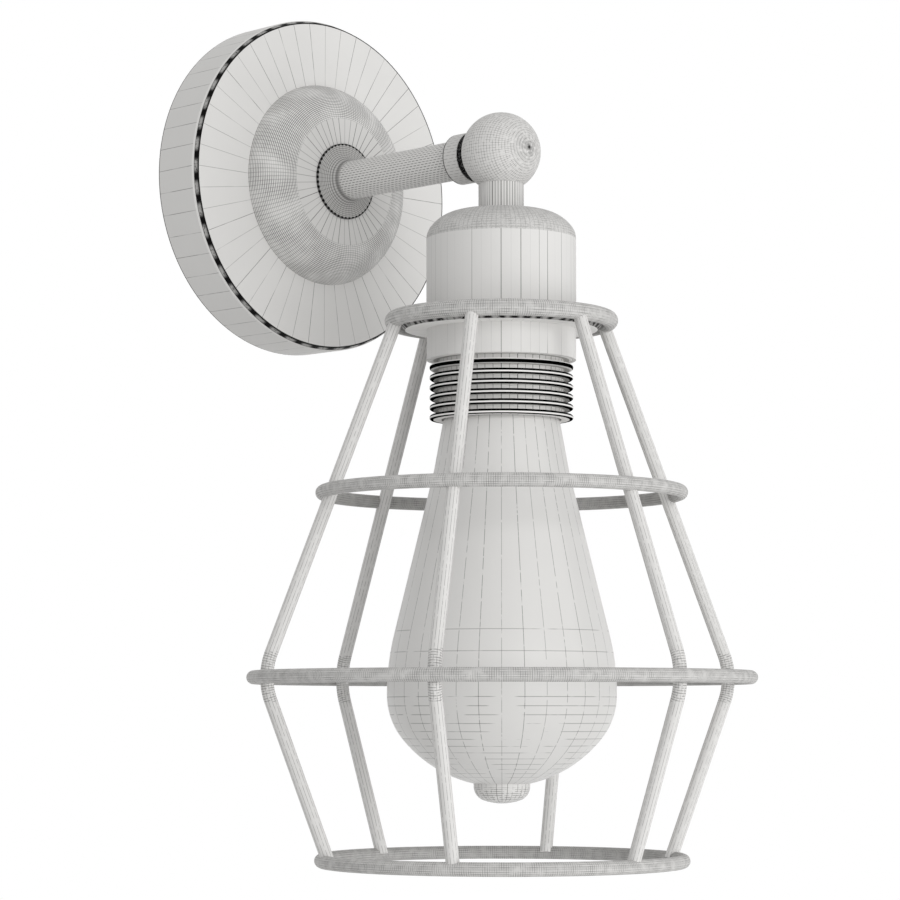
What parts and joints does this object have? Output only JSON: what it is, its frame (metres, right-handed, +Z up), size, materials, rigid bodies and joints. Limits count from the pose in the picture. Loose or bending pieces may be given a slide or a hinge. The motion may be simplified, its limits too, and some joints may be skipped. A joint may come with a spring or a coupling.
{
  "type": "cage wall light",
  "caption": "Wall light with a round canopy, a straight arm, a ball swivel and a wire cage that widens to a waist round a pear-shaped screw-cap lamp.",
  "frame": {"origin": "centre of the canopy's rim in the plane of the wall, which is also the middle of the two wall screws", "axes": "+Y into the wall, +Z up, the arm along -Y and the lamp hanging along -Z"},
  "size_m": [0.1428, 0.164, 0.2518],
  "materials": {
    "pale_paint": "matt powder coat, pale warm grey",
    "ring_paint": "matt powder coat, mid grey",
    "dark_paint": "matt dark grey",
    "holder_body": "matt pale grey, dark thread flanks",
    "zinc_steel": "zinc plated",
    "brass": "plain",
    "friction": "black fibre washer",
    "block_plastic": "moulded",
    "insulator": "moulded heat-proof insulator",
    "flex": "silicone insulation",
    "earth_flex": "green and yellow insulation",
    "opal_glass": "opal",
    "clear_glass": "clear",
    "lamp_metal": "plain",
    "cap_insulator": "black glass",
    "filament": "phosphor coated"
  },
  "bodies": {
    "wall_side": {"canopy": "pale_paint", "wall_bracket": "zinc_steel", "canopy_nipple": "zinc_steel", "nipple_locknuts": "zinc_steel", "earth_screw": "brass", "terminal_block": "block_plastic", "block_screws": "zinc_steel", "earth_lead": "earth_flex", "arm_flex": "flex", "arm_flange": "dark_paint", "arm_tube": "pale_paint", "arm_collar": "pale_paint", "swivel_washer": "friction", "stop_pin": "zinc_steel"},
    "head": {"swivel_ball": "pale_paint", "swivel_spindle": "zinc_steel", "swivel_spring": "zinc_steel", "swivel_nut": "zinc_steel", "neck_tube": "pale_paint", "neck_nipple": "zinc_steel", "neck_locknut": "zinc_steel", "head_flex": "flex", "holder_cap": "pale_paint", "holder_leads": "flex", "terminal_screws": "brass", "holder_insulator": "insulator", "screw_shell": "brass", "centre_contact": "brass", "holder_skirt": "holder_body", "shade_ring": "pale_paint", "cage_disc": "ring_paint", "cage_top_ring": "ring_paint", "cage_upper_ring": "ring_paint", "cage_waist_ring": "ring_paint", "cage_bottom_ring": "ring_paint", "cage_rod_1": "pale_paint", "cage_rod_2": "pale_paint", "cage_rod_3": "pale_paint", "cage_rod_4": "pale_paint", "cage_rod_5": "pale_paint", "cage_rod_6": "pale_paint"},
    "lamp": {"lamp_envelope": "opal_glass", "lamp_cap_shell": "lamp_metal", "lamp_cap_insulator": "cap_insulator", "lamp_contact": "lamp_metal", "lamp_stem": "clear_glass", "lamp_supports": "lamp_metal", "lamp_filaments": "filament"}
  },
  "joints": [
    {"name": "head_swivel", "type": "hinge", "parent": "wall_side", "child": "head", "pos_m": [0, -0.0926, 0], "axis": [0, 1, 0], "range_deg": [-160, 160]},
    {"name": "lamp_unscrew", "type": "slide", "parent": "head", "child": "lamp", "axis": [0, 0, -1], "range_m": [0, 0.16]}
  ]
}
